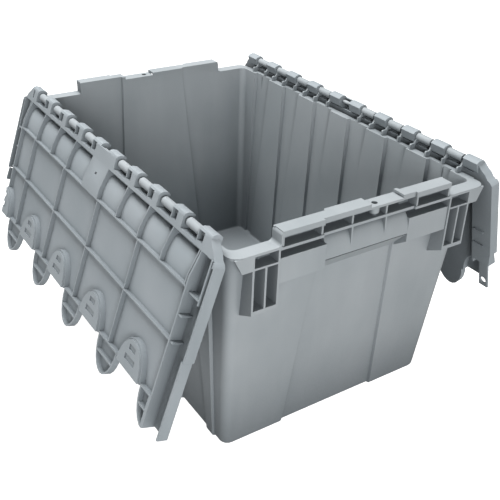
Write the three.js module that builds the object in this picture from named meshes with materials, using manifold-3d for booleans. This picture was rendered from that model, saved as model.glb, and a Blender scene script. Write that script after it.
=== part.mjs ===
// Attached lid tote: a tapered container whose two interlocking lids are hinged on its long sides.
// Frame: X across the tote, Y along it, +Z up, origin at the centre of the footprint. Millimetres.
// Both ends, and both lids, are the same shape turned by half a turn about Z.

import * as THREE from 'three';
import { mergeVertices } from 'three/addons/utils/BufferGeometryUtils.js';
import Module from 'manifold-3d';

const wasm = await Module();
wasm.setup();

// ---------- driving dimensions ----------

const wall = 2.8;                 // moulded wall thickness
const rib = 2.4;                  // thickness of stiffening ribs
const clearance = 0.6;            // gap between pieces that pass each other

// container shell, half sizes measured to the outer face of the plain wall
const baseHalfX = 159.4;
const baseHalfY = 232.8;
const rimHalfX = 176;
const rimHalfY = 260;
const rimZ = 294;                 // top of the low rim
const floorThickness = 3.2;
const floorFillet = 4.5;          // where the floor meets the walls inside
const footHeight = 3.5;
const footInset = 1.2;
const cornerRadius = 12;
const fluteCount = 6;             // outward flutes on each long wall
const flutePitch = 81;
const fluteRimWidth = 42;
const fluteBaseWidth = 16;
const fluteDepth = 5;
const endRecessDepth = 3.5;       // recessed middle panel of each end wall
const endRecessRimHalf = 54;
const endRecessBaseHalf = 74;

// end frame: raised band, ribs, label panels, grip and corner brackets
const frontY = 275;               // outermost plane of the end frame
const bandTopZ = 311;
const bandHalfX = 120;
const bandMiddleHalfX = 66;       // the middle of the band is set back
const bandSetBack = 3;
const bandPlate = 3;
const bandLipZ = 304.5;
const bandInnerY = 257;
const sealHeightDrop = 4;         // low part of the band that the seal tab lies on
const sealPartX = 48;
const sealHoleX = 11.5;
const sealHoleY = 263.5;
const sealHoleRadius = 3.6;
const sealBossRadius = 6.5;
const flangeThickness = 3;
const secondRibZ = 293;
const secondRibThickness = 3.4;
const panelTopZ = 279;
const panelBottomZ = 248;
const panelOuterX = 122;
const panelInnerX = 60;
const panelFrontY = 273.4;
const gripBottomZ = 259;
const gripRibX = 24.5;
const gripSlot = 1.6;
const bracketRibX = [123.4, 139.4, 155.2];
const bracketBottomZ = 216;
const bracketBarTopZ = 224;
const bracketShelfZ = 277;

// hinges
const hingeX = 190;
const hingeZ = 309;
const rodRadius = 2.6;
const boreRadius = 2.9;
const shellRadius = 5.3;          // container knuckle, a thin shell round the rod
const shellBore = 3.9;
const bareRod = 4.6;              // length of rod left bare at one end of each container knuckle
const hookReach = 8.2;            // lid knuckle, from the hinge axis to its flat faces
const hookWindowEndR = 7.2;
const hookWindowLength = 10.4;
const knucklePitch = 55.5;
const knuckleGap = 45.4;          // between the two lid knuckles nearest the middle
const lidKnucklesPerHalf = 5;
const lidKnuckleLength = 23.5;
const toteKnuckleLength = 30.8;
const rodHalfLength = 256.3;
const tickY = 207;

// lid, in its own closed frame: r from the hinge axis, y along the tote, w up from the hinge axis
const lidSheet = 2.5;
const lidRib = 1.9;
const borderTopW = 5;
const panelTopW = -4.5;
const ribEdgeW = -12.5;
const bossFloorW = -16;
const beamW = -6.5;
const beamTopW = 1.5;
const beamStartR = 9.4;
const beamEndR = 13.6;
const sheetStartR = 9.2;
const grooveEndR = 20;
const panelStartR = 51;
const ribKinkR = 42;
const longRibR = [53.5, 116];
const lidEdgeR = 188.4;
const endWallY = 249.3;
const tonguePitch = 110.7;
const tongueLength = 39.8;
const tongueHalfWidth = 24.5;
const pocketPlay = 1.5;
const pocketDepthR = 38.7;
const pocketRimInset = 2.2;
const stripY = 278.2;
const stripStepR = 127;
const stripStep = 2.5;
const stripBottomW = -8;
const coverPlate = 2.2;            // thickness of the plates that close the hinge side from below
const borderHingeR = -3.6;
// corner of the border beside the last knuckle, in plan
const borderCorner = [
  [borderHingeR, 256.5], [-1, 259], [2.5, 262.5], [6, 267], [12, 271], [14.5, 275.5], [18.5, stripY],
];
const rodStopY = 258.8;
const hingeCoverR = 14;
const longBorderR = 224.5;
const shortBorderR = 146;
const tabBottomW = -1.4;
const tabTopW = 1.2;
const tabHoleRadius = 4.8;
const endNotchR = 152;            // the short end wall stops here to let the other lid's last tongue in
const tongueRibR = lidEdgeR + 17;
const pocketSlots = [[157.5, 164, 7], [171, 178, 11.5]]; // from r, to r, half width
const slotDepth = 1.6;
const channelRibR = [85, 117];
const borderRibR = [93, 115];
const leftLidHang = 19;           // degrees that the open lid leans out from vertical
const rightLidHang = 13.5;

// ---------- solids from three.js geometry ----------

function toSolid(geometry) {
  const bare = geometry.clone();
  bare.deleteAttribute('normal');
  bare.deleteAttribute('uv');
  const merged = mergeVertices(bare, 1e-4);
  return new wasm.Manifold(new wasm.Mesh({
    numProp: 3,
    vertProperties: new Float32Array(merged.attributes.position.array),
    triVerts: new Uint32Array(merged.index.array),
  }));
}

function toGeometry(solid) {
  const mesh = solid.getMesh();
  const geometry = new THREE.BufferGeometry();
  geometry.setAttribute('position', new THREE.BufferAttribute(mesh.vertProperties, 3));
  geometry.setIndex(new THREE.BufferAttribute(mesh.triVerts, 1));
  return geometry;
}

function halfTurn(solid) {
  return toSolid(toGeometry(solid).rotateZ(Math.PI));
}

function union(solids) {
  return solids.reduce((sum, solid) => sum.add(solid));
}

function block(x0, x1, y0, y1, z0, z1) {
  const box = new THREE.BoxGeometry(x1 - x0, y1 - y0, z1 - z0);
  box.translate((x0 + x1) / 2, (y0 + y1) / 2, (z0 + z1) / 2);
  return toSolid(box);
}

function extrude(points, depth, basis, offset) {
  const shape = new THREE.Shape(points.map(([a, b]) => new THREE.Vector2(a, b)));
  const solid = new THREE.ExtrudeGeometry(shape, { depth, bevelEnabled: false, steps: 1 });
  solid.applyMatrix4(basis);
  solid.translate(offset.x, offset.y, offset.z);
  return toSolid(solid);
}

const axisX = new THREE.Vector3(1, 0, 0);
const axisY = new THREE.Vector3(0, 1, 0);
const axisZ = new THREE.Vector3(0, 0, 1);

// outline in (x, z), running along Y
function alongY(points, y0, y1) {
  const basis = new THREE.Matrix4().makeBasis(axisX, axisZ, axisY.clone().negate());
  return extrude(points, y1 - y0, basis, new THREE.Vector3(0, y1, 0));
}

// outline in (y, z), running along X
function alongX(points, x0, x1) {
  const basis = new THREE.Matrix4().makeBasis(axisY, axisZ, axisX);
  return extrude(points, x1 - x0, basis, new THREE.Vector3(x0, 0, 0));
}

// outline in (x, y), standing on z0
function plate(points, z0, z1) {
  return extrude(points, z1 - z0, new THREE.Matrix4(), new THREE.Vector3(0, 0, z0));
}

function roundY(radius, y0, y1, sides, x = 0, z = 0) {
  const round = new THREE.CylinderGeometry(radius, radius, y1 - y0, sides);
  round.translate(x, (y0 + y1) / 2, z);
  return toSolid(round);
}

function roundZ(radius, x, y, z0, z1, sides) {
  const round = new THREE.CylinderGeometry(radius, radius, z1 - z0, sides);
  round.rotateX(Math.PI / 2);
  round.translate(x, y, (z0 + z1) / 2);
  return toSolid(round);
}

function arc(cx, cy, rx, ry, startDegrees, endDegrees, steps) {
  return Array.from({ length: steps + 1 }, (_, i) => {
    const angle = THREE.MathUtils.degToRad(startDegrees + (endDegrees - startDegrees) * i / steps);
    return [cx + rx * Math.cos(angle), cy + ry * Math.sin(angle)];
  });
}

// a solid that changes from one outline to another with the same number of points
function loft(bottom, top, z0, z1) {
  const shape = new THREE.Shape(top.map(([x, y]) => new THREE.Vector2(x, y)));
  const solid = new THREE.ExtrudeGeometry(shape, { depth: 1, bevelEnabled: false, steps: 1 });
  const place = solid.attributes.position;
  for (let i = 0; i < place.count; i += 1) {
    if (place.getZ(i) > 0.5) {
      place.setZ(i, z1);
      continue;
    }
    const at = top.findIndex(([x, y]) => Math.hypot(x - place.getX(i), y - place.getY(i)) < 1e-4);
    place.setXYZ(i, bottom[at][0], bottom[at][1], z0);
  }
  return toSolid(solid);
}

// ---------- container ----------

// Outline of the shell at a height, given as its share of the rim height, moved inwards by inset.
function shellOutline(share, inset) {
  const mix = THREE.MathUtils.lerp;
  const halfX = mix(baseHalfX, rimHalfX, share) - inset;
  const halfY = mix(baseHalfY, rimHalfY, share) - inset;
  const radius = cornerRadius - Math.min(inset, cornerRadius / 2);
  const fluteHalf = mix(fluteBaseWidth, fluteRimWidth, share) / 2;
  const bulge = fluteDepth * mix(0.6, 1, share);
  const recess = mix(endRecessBaseHalf, endRecessRimHalf, share);
  const slant = 1.5;
  const longSide = [];
  for (let i = 0; i < fluteCount; i += 1) {
    const y = (i - (fluteCount - 1) / 2) * flutePitch;
    longSide.push([halfX, y - fluteHalf], [halfX + bulge, y - fluteHalf + slant]);
    longSide.push([halfX + bulge, y + fluteHalf - slant], [halfX, y + fluteHalf]);
  }
  const endSide = [
    [recess, halfY], [recess - slant, halfY - endRecessDepth],
    [slant - recess, halfY - endRecessDepth], [-recess, halfY],
  ];
  const corner = arc(halfX - radius, halfY - radius, radius, radius, 0, 90, 4);
  const mirrored = corner.map(([x, y]) => [-x, y]).reverse();
  const half = [...longSide, ...corner, ...endSide, ...mirrored];
  return [...half, ...half.map(([x, y]) => [-x, -y])];
}

function shell() {
  const footShare = footHeight / rimZ;
  const foot = loft(shellOutline(0, footInset), shellOutline(footShare, 0), 0, footHeight);
  const body = loft(shellOutline(footShare, 0), shellOutline(1, 0), footHeight, rimZ);
  const over = 20;
  const share = (z) => z / rimZ;
  const filletStep = floorFillet * 0.3;
  const filletMiddle = floorThickness + filletStep;
  const filletTop = floorThickness + floorFillet;
  const floorOutline = shellOutline(share(floorThickness), wall + floorFillet);
  const middleOutline = shellOutline(share(filletMiddle), wall + filletStep);
  const wallOutline = shellOutline(share(filletTop), wall);
  const inside = union([
    loft(floorOutline, middleOutline, floorThickness, filletMiddle),
    loft(middleOutline, wallOutline, filletMiddle, filletTop),
    loft(wallOutline, shellOutline(1, wall), filletTop, rimZ),
    plate(shellOutline(1, wall), rimZ, rimZ + over),
  ]);
  return { outside: foot.add(body), inside };
}

// outer face of the end wall at a height
function endWallFace(z) {
  return THREE.MathUtils.lerp(baseHalfY, rimHalfY, z / rimZ);
}

// everything below describes the end at +Y and is turned for the other end; buried is deep in the wall
const buried = rimHalfY - 9;

// S-curved plate that climbs from the low rim to the raised band
function riserOutline() {
  const foot = bandHalfX + 7;
  const rise = bandHalfX + 2;
  const outer = [
    ...arc(foot, rimZ + 4, foot - rise, 4, 270, 180, 4), ...arc(rise - 5, bandTopZ - 5, 5, 5, 0, 90, 4),
  ];
  const inner = [
    ...arc(rise - 5, bandTopZ - 5, 5 - bandPlate / 1.5, 5 - bandPlate, 90, 0, 4),
    ...arc(foot, rimZ + 4, foot - rise + bandPlate / 1.5, 4 + bandPlate, 180, 270, 4),
  ];
  return [...outer, ...inner];
}

function raisedBand() {
  const parts = [];
  const edges = [-bandHalfX, -bandMiddleHalfX, bandMiddleHalfX, bandHalfX];
  for (let i = 0; i < 3; i += 1) {
    const middle = i === 1;
    const front = frontY - (middle ? bandSetBack : 0);
    const inner = bandInnerY - (middle ? endRecessDepth : 0);
    const x0 = edges[i];
    const x1 = edges[i + 1];
    parts.push(block(x0, x1, inner, front, bandTopZ - bandPlate, bandTopZ));
    parts.push(block(x0, x1, front - rib, front, bandLipZ, bandTopZ));
  }
  const recess = endRecessRimHalf;
  for (const [x0, x1, inner] of [
    [-bandHalfX, -recess, bandInnerY],
    [-recess, recess, bandInnerY - endRecessDepth],
    [recess, bandHalfX, bandInnerY],
  ]) {
    parts.push(block(x0 - 1, x1 + 1, inner, inner + bandPlate, rimZ - 12, bandTopZ));
  }
  parts.push(alongY(riserOutline(), bandInnerY, frontY));
  for (const x of [gripRibX, bandMiddleHalfX + rib, bandHalfX - rib / 2]) {
    const front = frontY - (x < bandMiddleHalfX ? bandSetBack + 1 : 1);
    parts.push(block(x - rib / 2, x + rib / 2, bandInnerY - 1, front, secondRibZ - 1, bandTopZ - 1));
    parts.push(block(-x - rib / 2, -x + rib / 2, bandInnerY - 1, front, secondRibZ - 1, bandTopZ - 1));
  }
  return union(parts);
}

// low part of the band, with the boss and hole that a seal passes through
function sealSeat(band) {
  const low = bandTopZ - sealHeightDrop;
  const x1 = -sealHoleX;
  const cut = block(-sealPartX, 0, 240, frontY + 1, low, bandTopZ + 1);
  const innerY = bandInnerY - endRecessDepth;
  const plateUnder = block(-sealPartX, 0, innerY, frontY - bandSetBack, low - bandPlate, low);
  const boss = roundZ(sealBossRadius, x1, sealHoleY, rimZ + 2, low, 20);
  const hole = roundZ(sealHoleRadius, x1, sealHoleY, rimZ - 1, low + 1, 20);
  return union([band.subtract(cut), plateUnder, boss]).subtract(hole);
}

function endFlanges() {
  const radius = 14;
  const halfX = hingeX - 8;
  const corner = arc(halfX - radius, frontY - radius, radius, radius, 0, 90, 5);
  const outline = [
    [halfX, 240], ...corner, ...corner.map(([x, y]) => [-x, y]).reverse(), [-halfX, 240],
  ];
  const lowRim = plate(outline, rimZ - flangeThickness, rimZ);
  const bandOpening = block(-bandHalfX, bandHalfX, 200, frontY + 1, rimZ - 10, rimZ + 1);
  const outer = block(-panelOuterX, panelOuterX, buried, frontY, secondRibZ - secondRibThickness, secondRibZ);
  const notch = block(
    -bandMiddleHalfX, bandMiddleHalfX, frontY - bandSetBack, frontY + 1, secondRibZ - 9, secondRibZ + 1,
  );
  return lowRim.subtract(bandOpening).add(outer.subtract(notch));
}

function labelPanel(x0, x1) {
  const outline = [
    [buried, panelTopZ], [panelFrontY, panelTopZ], [panelFrontY, panelBottomZ],
    [endWallFace(panelBottomZ - 14) - 1, panelBottomZ - 14], [buried - 6, panelBottomZ - 14],
  ];
  return alongX(outline, x0, x1);
}

// convex scoop behind the handle, deep at its top and flush with the panels at its bottom
function gripScoop() {
  const topZ = secondRibZ - secondRibThickness - 1;
  const backY = endWallFace(topZ) - endRecessDepth;
  const curve = arc(backY, gripBottomZ + 3, panelFrontY - backY, topZ - gripBottomZ - 3, 90, 0, 6);
  const outline = [
    [buried - 6, gripBottomZ], [buried - 6, topZ], ...curve, [panelFrontY, gripBottomZ],
  ];
  return alongX(outline, -panelInnerX, panelInnerX);
}

// plate below the scoop, parted from it by a narrow slot, that fades into the wall
function gripApron() {
  const topZ = gripBottomZ - gripSlot;
  const outline = [
    [buried - 6, topZ], [panelFrontY - 1, topZ],
    [endWallFace(panelBottomZ - 14) - endRecessDepth, panelBottomZ - 14], [buried - 12, panelBottomZ - 14],
  ];
  return alongX(outline, -panelInnerX, panelInnerX);
}

function gripRibs() {
  const outline = [
    [buried, gripBottomZ], [buried, secondRibZ - 1],
    [frontY - bandSetBack, secondRibZ - 1], [panelFrontY, gripBottomZ],
  ];
  return [-gripRibX, gripRibX].map((x) => alongX(outline, x - rib / 2, x + rib / 2));
}

// three deep ribs, a shelf and a bottom bar that brace the rim at one corner
function cornerBracket(side) {
  const span = (a, b) => (side > 0 ? [a, b] : [-b, -a]);
  const ribOutline = [
    [buried, rimZ - 1], [frontY, rimZ - 1], [frontY, bracketBottomZ + 3],
    [endWallFace(bracketBottomZ) - 1, bracketBottomZ - 9], [buried - 12, bracketBottomZ - 9],
  ];
  const barOutline = [
    [buried - 12, bracketBarTopZ], [frontY, bracketBarTopZ], [frontY, bracketBottomZ + 3],
    [endWallFace(bracketBottomZ) - 1, bracketBottomZ - 9], [buried - 12, bracketBottomZ - 9],
  ];
  const parts = bracketRibX.map((x) => alongX(ribOutline, ...span(x - rib / 2, x + rib / 2)));
  const [m0, m1] = span(bracketRibX[0] + rib / 2, bracketRibX[2] - rib / 2);
  const openTop = block(m0, m1, endWallFace(rimZ), frontY + 1, bracketShelfZ, rimZ - flangeThickness);
  parts[1] = parts[1].subtract(openTop);
  const [x0, x1] = span(bracketRibX[0], bracketRibX[2]);
  parts.push(alongX(barOutline, x0, x1));
  parts.push(block(x0, x1, buried, frontY, bracketShelfZ - rib, bracketShelfZ));
  const drop = [
    [side * (bracketRibX[2] - 1), rimZ - 1], [side * (bracketRibX[2] + 23), rimZ - 1],
    [side * (bracketRibX[2] + 14), bracketShelfZ - rib], [side * (bracketRibX[2] - 1), bracketShelfZ - rib],
  ];
  parts.push(alongY(drop, frontY - rib, frontY));
  return union(parts);
}

// small hollow under the label panel next to one bracket
function panelPocket() {
  const outline = [
    [-panelOuterX, panelBottomZ - 1], [-panelOuterX, panelBottomZ - 22],
    [-panelOuterX + 21, panelBottomZ - 12], [-panelOuterX + 24, panelBottomZ - 1],
  ];
  return alongY(outline, endWallFace(panelBottomZ) + 0.4, frontY);
}

function endFrame() {
  const panels = [
    labelPanel(panelInnerX, panelOuterX), labelPanel(-panelOuterX, -panelInnerX).subtract(panelPocket()),
  ];
  return union([
    sealSeat(raisedBand()), endFlanges(), ...panels, gripScoop(), gripApron(), ...gripRibs(),
    cornerBracket(1), cornerBracket(-1),
  ]);
}

// y positions of the lid knuckles, and of the container knuckles between them
const lidKnuckleY = [];
const toteKnuckleY = [];
for (let i = 0; i < lidKnucklesPerHalf; i += 1) {
  lidKnuckleY.push(knuckleGap / 2 + i * knucklePitch, -knuckleGap / 2 - i * knucklePitch);
  if (i < lidKnucklesPerHalf - 1) {
    const y = knuckleGap / 2 + (i + 0.5) * knucklePitch;
    toteKnuckleY.push(y, -y);
  }
}

// fin that carries one end of a container knuckle: a round-topped post that runs up into the shell
function finOutline() {
  const post = rimHalfX + 2;
  return [
    [post - 2.5, rimZ - 1], ...arc(post, rimZ + 5, 2.5, 2.5, 180, 60, 4), [hingeX - 7.8, rimZ + 7.4],
    [hingeX - 5.4, hingeZ - 3.4], [hingeX - 3.6, hingeZ + 3], [hingeX, hingeZ + 3],
    [hingeX + 1.5, hingeZ - shellRadius + 1], [hingeX - 3, hingeZ - shellRadius - 0.6],
    [hingeX - 5.8, rimZ + 5], [hingeX - 6.5, rimZ - 1],
  ];
}

// container hinge at +X: flange, thin knuckle shells and the fins that carry them
function toteHinge() {
  const flangeEndY = rimHalfY - 6;
  const flange = block(rimHalfX - wall, hingeX - 6, -flangeEndY, flangeEndY, rimZ - flangeThickness, rimZ);
  const parts = [flange];
  const hollows = [];
  for (const y of toteKnuckleY) {
    const y0 = y - toteKnuckleLength / 2;
    const y1 = y + toteKnuckleLength / 2;
    parts.push(roundY(shellRadius, y0 + bareRod, y1, 24, hingeX, hingeZ));
    parts.push(alongY(finOutline(), y0, y0 + rib));
    parts.push(alongY(finOutline(), y1 - rib, y1));
    hollows.push(roundY(shellBore, y0 + bareRod + 6, y1 + 1, 20, hingeX, hingeZ));
  }
  const bore = roundY(boreRadius, -rimHalfY, rimHalfY, 16, hingeX, hingeZ);
  return union(parts).subtract(union([bore, ...hollows]));
}

// short upright ticks on the inside of the long walls
function wallTicks() {
  return [-1, 1].map((side) => {
    const y = side * tickY;
    return block(rimHalfX + fluteDepth - wall - 1.6, rimHalfX + 2.5, y - 0.7, y + 0.7, rimZ - 22, rimZ - 2);
  });
}

function toteBody() {
  const { outside, inside } = shell();
  const end = endFrame();
  const hinge = toteHinge();
  const ticks = union(wallTicks());
  const whole = union([outside, end, halfTurn(end), hinge, halfTurn(hinge)]);
  return whole.subtract(inside).add(ticks).add(halfTurn(ticks));
}

// ---------- lid ----------

// the tongues of this lid, and the pockets that take the other lid's tongues
const tongueY = Array.from({ length: 5 }, (_, i) => -endWallY + 1.2 + i * tonguePitch);
const pocketY = tongueY.map((y) => -y);

// main sheet: flat behind the beam, then a convex step down to the panel
function sideSheet() {
  const top = borderTopW;
  const drop = top - panelTopW;
  const run = panelStartR - grooveEndR;
  const outline = [
    [sheetStartR, top - lidSheet], ...arc(panelStartR, top - lidSheet, run, drop, 180, 270, 6),
    [lidEdgeR, panelTopW - lidSheet], [lidEdgeR, panelTopW],
    ...arc(panelStartR, top, run - lidSheet, drop, 270, 180, 6), [sheetStartR, top],
  ];
  return alongY(outline, -endWallY, endWallY);
}

function crossRibOutline(endR) {
  const middleW = borderTopW - lidSheet / 2;
  const run = panelStartR - grooveEndR - lidSheet / 2;
  const step = arc(panelStartR, middleW, run, borderTopW - panelTopW, 270, 180, 6);
  return [
    [beamStartR, beamW], [beamEndR, beamW], [ribKinkR, ribEdgeW], [endR, ribEdgeW],
    [endR, panelTopW - lidSheet / 2], ...step, [sheetStartR + 0.3, middleW], [beamStartR, beamTopW],
  ];
}

function lidRibs() {
  const parts = [];
  for (const r of longRibR) {
    parts.push(block(r - lidRib / 2, r + lidRib / 2, -endWallY, endWallY, ribEdgeW, panelTopW - 1));
  }
  parts.push(block(lidEdgeR - rib, lidEdgeR, -endWallY, endWallY, ribEdgeW, panelTopW - 1));
  for (const y of tongueY.slice(1)) {
    const outline = [
      [longRibR[0], ribEdgeW], [lidEdgeR, ribEdgeW], [lidEdgeR, panelTopW - 1], [longRibR[0], panelTopW - 1],
    ];
    parts.push(alongY(outline, y - lidRib / 2, y + lidRib / 2));
  }
  for (const y of lidKnuckleY) {
    parts.push(alongY(crossRibOutline(longRibR[0]), y - lidRib / 2, y + lidRib / 2));
  }
  for (const side of [-1, 1]) {
    const [y0, y1] = side > 0 ? [endWallY - rib, endWallY] : [-endWallY, rib - endWallY];
    parts.push(alongY([
      [beamStartR, beamW], [beamEndR, beamW], [ribKinkR, ribEdgeW], [lidEdgeR, ribEdgeW],
      [lidEdgeR, borderTopW], [beamStartR, borderTopW],
    ], y0, y1));
  }
  return parts;
}

// bar that joins the knuckles, and the cover plate in the middle of the hinge side
function hingeBeam() {
  const beam = block(beamStartR, beamEndR, -endWallY, endWallY, beamW, beamTopW);
  const cover = [
    [-4, beamW], [beamEndR, beamW], [ribKinkR, ribEdgeW], [longRibR[0], ribEdgeW],
    [longRibR[0], ribEdgeW + coverPlate], [ribKinkR, ribEdgeW + coverPlate], [beamEndR, beamW + coverPlate],
    [-4, beamW + coverPlate],
  ];
  const hole = block(27, 30, -2.2, 2.2, -20, 0);
  return beam.add(alongY(cover, -knuckleGap / 2, knuckleGap / 2).subtract(hole));
}

// boxy hook round the rod, with a square window near one end of its flat side
function lidKnuckles() {
  const reach = beamStartR + 2;
  const chamfer = 1.8;
  const outline = [
    [reach, beamW], [-3.6, beamW], [-6.8, -4.6], [-hookReach, -1.5], [-hookReach, hookReach - 2 * chamfer],
    [chamfer - hookReach, hookReach - chamfer / 4], [4.5, hookReach - chamfer / 4], [6.8, 6],
    [reach, beamTopW],
  ];
  return lidKnuckleY.map((y) => {
    const body = alongY(outline, y - lidKnuckleLength / 2, y + lidKnuckleLength / 2);
    return body.subtract(block(-4.2, hookWindowEndR, y, y + hookWindowLength, beamW - 1, 0));
  });
}

function dShape(centreY, baseR, depthR, halfWidth, direction) {
  const curve = arc(0, 0, depthR, halfWidth, -90, 90, 12);
  return curve.map(([r, y]) => [baseR + direction * r, centreY + y]);
}

// keeps a piece between the two end walls of the lid
function insideEnds(r0, r1) {
  const limit = endWallY - rib - clearance;
  return block(r0, r1, -limit, limit, -40, 40);
}

// shallow tray with a rim and one cross rib, that reaches over the other lid
function tongues() {
  const keep = insideEnds(lidEdgeR - rib, longBorderR + 5);
  return tongueY.map((y) => {
    const outer = dShape(y, lidEdgeR - 0.2, tongueLength, tongueHalfWidth, 1);
    const inner = dShape(y, lidEdgeR - 0.2, tongueLength - rib, tongueHalfWidth - rib, 1);
    const tray = plate(outer, ribEdgeW, panelTopW).subtract(plate(inner, ribEdgeW - 1, panelTopW - lidSheet));
    const crossRib = block(tongueRibR, tongueRibR + rib, y - 21, y + 21, ribEdgeW, panelTopW - 1);
    const shape = plate(outer, ribEdgeW, panelTopW);
    return tray.add(crossRib.intersect(shape)).intersect(keep);
  });
}

// straight wall that closes the half tongue at the -Y end and carries the end wall past the edge
function lastTongueWall() {
  const inner = endWallY - rib - clearance - rib;
  const wallEndR = lidEdgeR + tongueLength - 2;
  return block(lidEdgeR - rib, wallEndR, -endWallY, -inner, ribEdgeW, panelTopW)
    .add(block(lidEdgeR - rib, wallEndR, -endWallY, rib - endWallY, ribEdgeW, borderTopW));
}

function pocketShape(y, extra) {
  return dShape(y, lidEdgeR + 1, pocketDepthR + extra, tongueHalfWidth + pocketPlay + extra, -1);
}

function pocketBosses() {
  const keep = block(100, lidEdgeR, -endWallY, endWallY, -40, 40);
  return pocketY.map((y) => {
    const side = plate(pocketShape(y, rib), bossFloorW + pocketRimInset, panelTopW);
    const crown = plate(pocketShape(y, rib - pocketRimInset), bossFloorW, panelTopW);
    return side.add(crown).intersect(keep);
  });
}

function pocketCuts() {
  const limit = endWallY - rib;
  const keep = block(100, lidEdgeR + 2, -limit, limit, -40, 40);
  const cuts = [];
  for (const y of pocketY) {
    cuts.push(plate(pocketShape(y, 0), bossFloorW + lidSheet, panelTopW + 1).intersect(keep));
    for (const [r0, r1, halfWidth] of pocketSlots) {
      const slot = block(r0, r1, y - halfWidth, y + halfWidth, bossFloorW - 1, bossFloorW + slotDepth);
      cuts.push(slot.intersect(keep));
    }
  }
  cuts.push(block(endNotchR, lidEdgeR + 2, limit - clearance, endWallY + 1, -40, 40));
  return union(cuts);
}

// Plan outline of the border at the +Y end, its outer side moved in by inset.
function borderOutline(inset, farR) {
  const corner = borderCorner.map(([r, y]) => [r + inset, y - inset]);
  const stepR = stripStepR + inset / 2;
  return [
    [borderHingeR + inset, endWallY - 1], ...corner, [stepR, stripY - inset],
    [stepR, stripY - stripStep - inset], [farR, stripY - stripStep - inset], [farR, endWallY - 1],
  ];
}

// raised border over one end rim; the long one runs past the middle of the tote
function border(side, endR) {
  const mirror = (points) => points.map(([r, y]) => [r, side * y]);
  const place = (a, b) => (side > 0 ? [a, b] : [-b, -a]);
  const below = stripBottomW - 1;
  const ceilingW = borderTopW - lidSheet;
  const whole = plate(mirror(borderOutline(0, endR)), stripBottomW, borderTopW);
  const hollow = plate(mirror(borderOutline(lidSheet, endR + 1)), beamW + coverPlate, ceilingW)
    .intersect(block(borderHingeR, endR + 1, ...place(rodStopY, stripY), beamW, borderTopW));
  const cuts = [
    hollow,
    block(beamEndR, endR + 1, ...place(endWallY, rodStopY + 1), below, ceilingW),
    block(hingeCoverR, endR + 1, ...place(rodStopY - 2, stripY - lidSheet - stripStep), below, 0),
    block(hingeCoverR + 6, stripStepR, ...place(rodStopY - 2, stripY - lidSheet), below, 0),
    block(borderHingeR - 1, hingeCoverR, ...place(endWallY - 2, stripY + 1), below, beamW),
  ];
  return [whole.subtract(union(cuts)), ...channelRibs(place)];
}

// ribs inside one border: a long one beside the skirt, and cross ribs that stay clear of the raised band
function channelRibs(place) {
  const ceilingW = borderTopW - 1;
  const bandGapW = bandTopZ - hingeZ + clearance;
  const longRibEndR = 64;
  const longRibY = 269.3;
  const gussetR = 58;
  const parts = [
    block(hingeCoverR - 1, longRibEndR, ...place(longRibY, longRibY + 2), stripBottomW, ceilingW),
    block(gussetR, gussetR + 2, ...place(endWallY - 1, longRibY + 1), stripBottomW, ceilingW),
  ];
  for (const r of channelRibR) {
    parts.push(block(r - 1, r + 1, ...place(endWallY - 1, stripY - 1), bandGapW, ceilingW));
    parts.push(block(r - 1, r + 1, ...place(endWallY - 1, bandInnerY - 1.5), ribEdgeW + 1, ceilingW));
  }
  return parts;
}

// short end of the border and the tab whose hole lines up with the seal hole of the container
function sealTab() {
  const r0 = shortBorderR;
  const endPlate = block(r0 - rib, r0, endWallY - 1, stripY - stripStep, tabBottomW, borderTopW);
  const tab = block(r0 - rib, lidEdgeR, 256.6, 271, tabBottomW, tabTopW);
  const ribs = borderRibR.map((r) => block(r, r + 1.6, 251, 267, borderTopW - 0.5, borderTopW + 2.4));
  const hole = roundZ(tabHoleRadius, hingeX - sealHoleX, sealHoleY, tabBottomW - 1, tabTopW + 3, 20);
  return union([endPlate, tab, ...ribs]).subtract(hole);
}

function lid() {
  const plain = union([
    sideSheet(), ...lidRibs(), hingeBeam(), ...lidKnuckles(),
    ...tongues(), lastTongueWall(), ...pocketBosses(),
    ...border(-1, longBorderR), ...border(1, shortBorderR), sealTab(),
  ]);
  const bore = roundY(boreRadius, -rodHalfLength - 1, rodHalfLength + 1, 16);
  return plain.subtract(pocketCuts()).subtract(bore);
}

// ---------- assembly ----------

const greyShell = new THREE.MeshStandardMaterial({ color: 0xa3a9ac, roughness: 0.62, metalness: 0 });
const greyLid = new THREE.MeshStandardMaterial({ color: 0xa6acaf, roughness: 0.62, metalness: 0 });
const greyRod = new THREE.MeshStandardMaterial({ color: 0xb0b4b6, roughness: 0.5, metalness: 0 });

function named(name, solid, material) {
  const mesh = new THREE.Mesh(toGeometry(solid), material);
  mesh.name = name;
  return mesh;
}

// A lid's group turns by half a turn for the right side, then about its hinge to hang open.
function placedLid(name, halfTurns, hang) {
  const side = new THREE.Group();
  side.rotation.z = halfTurns * Math.PI;
  const hinge = new THREE.Group();
  hinge.position.set(-hingeX, 0, hingeZ);
  hinge.rotation.y = THREE.MathUtils.degToRad(90 + hang);
  hinge.add(named(name, lid(), greyLid));
  side.add(hinge);
  return side;
}

const hingeRod = roundY(rodRadius, -rodHalfLength, rodHalfLength, 16);
const leftRod = named('left_hinge_rod', hingeRod, greyRod);
leftRod.position.set(-hingeX, 0, hingeZ);
const rightRod = named('right_hinge_rod', hingeRod, greyRod);
rightRod.position.set(hingeX, 0, hingeZ);

const tote = new THREE.Group();
tote.add(named('tote_body', toteBody(), greyShell));
tote.add(leftRod, rightRod);
tote.add(placedLid('left_lid', 0, leftLidHang));
tote.add(placedLid('right_lid', 1, rightLidHang));

export default tote;
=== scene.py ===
"""Looks for the attached lid tote: moulded grey plastic, soft studio light, one calibrated camera."""

import math

import bpy
from mathutils import Matrix, Vector

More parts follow.
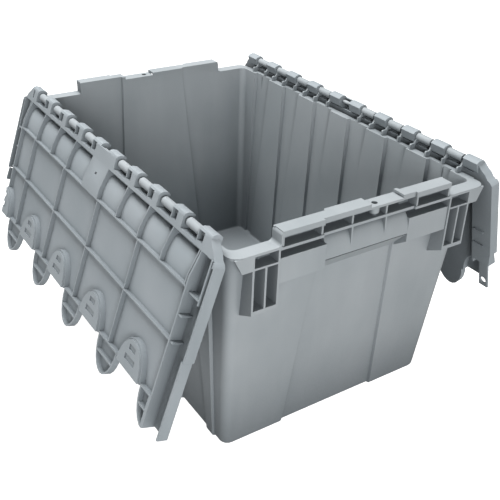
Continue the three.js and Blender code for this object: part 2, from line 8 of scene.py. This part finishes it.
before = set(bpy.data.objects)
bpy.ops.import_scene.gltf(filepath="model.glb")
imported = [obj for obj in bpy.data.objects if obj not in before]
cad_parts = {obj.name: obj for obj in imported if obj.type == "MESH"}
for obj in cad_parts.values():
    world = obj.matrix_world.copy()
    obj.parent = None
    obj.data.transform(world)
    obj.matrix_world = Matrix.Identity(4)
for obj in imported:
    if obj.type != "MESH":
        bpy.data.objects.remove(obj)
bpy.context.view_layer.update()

MM = 0.001

# camera, solved from the straight edges of the tote
CAMERA_PLACE = Vector((-0.5338, -0.8241, 0.6902))
CAMERA_AZIMUTH = -33.8
CAMERA_ELEVATION = 29.77
CAMERA_ROLL = 2.06
CAMERA_LENS = 55.64
CAMERA_SENSOR = 36
CAMERA_SHIFT = (0.0085, -0.0156)

# studio: each lamp has its place, the point it faces, its width in metres and its power in watts
WORLD_STRENGTH = 0.1
WORLD_STRENGTH_SEEN = 1.0
LAMPS = {
    "top": ((-0.2, 0.55, 2.3), (0, 0.1, 0.2), 1.3, 102),
    "front": ((-1.05, -2.3, 0.85), (0, 0, 0.2), 0.9, 60),
}

# the floor looks white to the camera, but lights the tote only a little
FLOOR_SIZE = 12
FLOOR_GLOW = 0.03
FLOOR_GLOW_SEEN = 0.95
FLOOR_ROUGHNESS = 0.9

# moulded edges
WELD_REACH = 0.02 * MM
FLAT_ANGLE = math.radians(0.4)
CORNER_ANGLE = math.radians(31)
EDGE_RADIUS = 0.45 * MM

# plastic surface; the scales of its noises are per metre
CLOUD_SCALE = 9
FLOW_SCALE = 30
FLOW_STRETCH = (1.0, 0.35, 0.2)
GRAIN_SCALE = 2600
GRAIN_DEPTH = 0.06 * MM
GRAIN_STRENGTH = 0.5
PLASTIC_ROUGHNESS = (0.5, 0.62)
PLASTIC_SPECULAR = 0.18


def linear(red, green, blue):
    """Scene-linear colour from 0 to 255 display values."""
    def channel(value):
        share = value / 255
        return share / 12.92 if share <= 0.04045 else ((share + 0.055) / 1.055) ** 2.4
    return (channel(red), channel(green), channel(blue), 1.0)


# painted shade: the plastic is painted darker where occlusion closes it in, deep inside the tote and in its
# pockets
PAINTED_SHADE_REACH = 160 * MM
PAINTED_SHADE_TONE = linear(92, 98, 102)


# ---------- materials ----------

class Graph:
    """A material's node tree, with short calls to add and join nodes."""

    def __init__(self, name):
        self.material = bpy.data.materials.new(name)
        self.material.use_nodes = True
        self.tree = self.material.node_tree
        self.surface = self.tree.nodes["Principled BSDF"]
        self.place = self.add("ShaderNodeTexCoord").outputs["Object"]

    def add(self, kind, **settings):
        node = self.tree.nodes.new(kind)
        for key, value in settings.items():
            setattr(node, key, value)
        return node

    def join(self, source, target):
        self.tree.links.new(source, target)

    def noise(self, scale, detail=4, roughness=0.5, stretch=None):
        node = self.add("ShaderNodeTexNoise")
        node.inputs["Scale"].default_value = scale
        node.inputs["Detail"].default_value = detail
        node.inputs["Roughness"].default_value = roughness
        place = self.place
        if stretch:
            mapping = self.add("ShaderNodeMapping")
            mapping.inputs["Scale"].default_value = stretch
            self.join(place, mapping.inputs["Vector"])
            place = mapping.outputs["Vector"]
        self.join(place, node.inputs["Vector"])
        return node.outputs["Fac"]

    def ramp(self, value, low, high, low_out=0.0, high_out=1.0):
        node = self.add("ShaderNodeMapRange")
        self.join(value, node.inputs["Value"])
        node.inputs["From Min"].default_value = low
        node.inputs["From Max"].default_value = high
        node.inputs["To Min"].default_value = low_out
        node.inputs["To Max"].default_value = high_out
        return node.outputs["Result"]

    def mix(self, share, first, second):
        node = self.add("ShaderNodeMix", data_type="RGBA")
        self.set_or_join(share, node.inputs["Factor"])
        self.set_or_join(first, node.inputs["A"])
        self.set_or_join(second, node.inputs["B"])
        return node.outputs["Result"]

    def set_or_join(self, value, target):
        if isinstance(value, bpy.types.NodeSocket):
            self.join(value, target)
        else:
            target.default_value = value

    def bump(self, height, distance, strength, normal):
        node = self.add("ShaderNodeBump")
        node.inputs["Distance"].default_value = distance
        node.inputs["Strength"].default_value = strength
        self.join(height, node.inputs["Height"])
        self.join(normal, node.inputs["Normal"])
        return node.outputs["Normal"]


def moulded_plastic(name, base, light, dark):
    """Matte moulded plastic: faint clouds and flow, painted shade in its hollows, softened edges, a fine
    etched grain.
    """
    graph = Graph(name)
    clouds = graph.noise(CLOUD_SCALE, detail=5)
    flow = graph.noise(FLOW_SCALE, detail=3, stretch=FLOW_STRETCH)
    tone = graph.mix(graph.ramp(clouds, 0.35, 0.65), dark, base)
    tone = graph.mix(graph.ramp(flow, 0.45, 0.8, 0.0, 0.35), tone, light)
    # painted shade: an ambient occlusion mask pulls the colour toward a dark grey in hollows, creases and
    # under parts
    painted_shade_occlusion = graph.add("ShaderNodeAmbientOcclusion", samples=6)
    painted_shade_occlusion.inputs["Distance"].default_value = PAINTED_SHADE_REACH
    tone = graph.mix(graph.ramp(painted_shade_occlusion.outputs["AO"], 0.25, 0.8), PAINTED_SHADE_TONE, tone)
    graph.join(tone, graph.surface.inputs["Base Color"])
    graph.join(graph.ramp(clouds, 0.3, 0.7, *PLASTIC_ROUGHNESS), graph.surface.inputs["Roughness"])
    rounding = graph.add("ShaderNodeBevel", samples=4)
    rounding.inputs["Radius"].default_value = EDGE_RADIUS
    grain = graph.noise(GRAIN_SCALE, detail=2)
    normal = graph.bump(grain, GRAIN_DEPTH, GRAIN_STRENGTH, rounding.outputs["Normal"])
    graph.join(normal, graph.surface.inputs["Normal"])
    graph.surface.inputs["Specular IOR Level"].default_value = PLASTIC_SPECULAR
    return graph.material


def floor_paint():
    """Plain pale studio floor with an even, barely visible mottle."""
    graph = Graph("studio_floor")
    mottle = graph.ramp(graph.noise(3), 0.3, 0.7)
    tone = graph.mix(mottle, linear(176, 176, 176), linear(180, 180, 180))
    graph.join(tone, graph.surface.inputs["Base Color"])
    graph.surface.inputs["Roughness"].default_value = FLOOR_ROUGHNESS
    graph.surface.inputs["Emission Color"].default_value = linear(255, 255, 255)
    seen = graph.add("ShaderNodeLightPath").outputs["Is Camera Ray"]
    glow = graph.ramp(seen, 0.0, 1.0, FLOOR_GLOW, FLOOR_GLOW_SEEN)
    graph.join(glow, graph.surface.inputs["Emission Strength"])
    return graph.material


# ---------- pieces ----------

def dress(node_name, material):
    """Merges one CAD node's flat facets, shades its curves smooth between crisp corners, and paints it."""
    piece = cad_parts[node_name]
    weld = piece.modifiers.new("weld", "WELD")
    weld.merge_threshold = WELD_REACH
    merge = piece.modifiers.new("merge_flat", "DECIMATE")
    merge.decimate_type = "DISSOLVE"
    merge.angle_limit = FLAT_ANGLE
    split = piece.modifiers.new("split_corners", "EDGE_SPLIT")
    split.split_angle = CORNER_ANGLE
    piece.modifiers.new("flat_faces", "WEIGHTED_NORMAL")
    piece.data.materials.clear()
    piece.data.materials.append(material)
    for polygon in piece.data.polygons:
        polygon.use_smooth = True
        polygon.material_index = 0


# ---------- studio ----------

def studio():
    """White floor under the tote and a faint white sky."""
    bpy.ops.mesh.primitive_plane_add(size=FLOOR_SIZE)
    floor = bpy.context.object
    floor.name = "floor"
    floor.data.materials.append(floor_paint())
    world = bpy.data.worlds.new("studio")
    world.use_nodes = True
    nodes = world.node_tree.nodes
    background = nodes["Background"]
    background.inputs["Color"].default_value = linear(255, 255, 255)
    seen = nodes.new("ShaderNodeLightPath").outputs["Is Camera Ray"]
    strength = nodes.new("ShaderNodeMapRange")
    strength.inputs["To Min"].default_value = WORLD_STRENGTH
    strength.inputs["To Max"].default_value = WORLD_STRENGTH_SEEN
    world.node_tree.links.new(seen, strength.inputs["Value"])
    world.node_tree.links.new(strength.outputs["Result"], background.inputs["Strength"])
    bpy.context.scene.world = world


def area_light(name, place, target, size, power):
    """Square lamp at a place, turned to face a target."""
    light = bpy.data.lights.new(name, "AREA")
    light.size = size
    light.energy = power
    lamp = bpy.data.objects.new(name, light)
    lamp.location = place
    lamp.rotation_mode = "QUATERNION"
    lamp.rotation_quaternion = (Vector(target) - Vector(place)).to_track_quat("-Z", "Y")
    bpy.context.scene.collection.objects.link(lamp)


def camera():
    """Camera at its solved place, looking down on one handle end and one long side."""
    azimuth = math.radians(CAMERA_AZIMUTH)
    elevation = math.radians(CAMERA_ELEVATION)
    back = Vector((
        math.sin(azimuth) * math.cos(elevation),
        -math.cos(azimuth) * math.cos(elevation),
        math.sin(elevation),
    ))
    level = Vector((math.cos(azimuth), math.sin(azimuth), 0))
    turn = Matrix((level, back.cross(level), back)).transposed().to_4x4()
    roll = Matrix.Rotation(math.radians(CAMERA_ROLL), 4, "Z")
    lens = bpy.data.cameras.new("camera")
    lens.lens = CAMERA_LENS
    lens.sensor_width = CAMERA_SENSOR
    lens.shift_x, lens.shift_y = CAMERA_SHIFT
    view = bpy.data.objects.new("camera", lens)
    view.matrix_world = Matrix.Translation(CAMERA_PLACE) @ turn @ roll
    bpy.context.scene.collection.objects.link(view)
    bpy.context.scene.camera = view


grey = moulded_plastic("tote_plastic", linear(142, 147, 150), linear(155, 160, 163), linear(135, 141, 144))
# the lids use a darker copy of the tote plastic: painted shade for the dimmer light the lids sit in
lid_grey_painted_shade = moulded_plastic("lid_plastic", linear(137, 143, 147), linear(150, 156, 160), linear(130, 137, 141))
rod_grey = moulded_plastic("rod_plastic", linear(148, 153, 156), linear(162, 166, 169), linear(141, 146, 149))
dress("tote_body", grey)
dress("left_lid", lid_grey_painted_shade)
dress("right_lid", lid_grey_painted_shade)
dress("left_hinge_rod", rod_grey)
dress("right_hinge_rod", rod_grey)

studio()
for lamp_name, lamp_settings in LAMPS.items():
    area_light(lamp_name, *lamp_settings)
camera()
bpy.context.scene.view_settings.view_transform = "Standard"
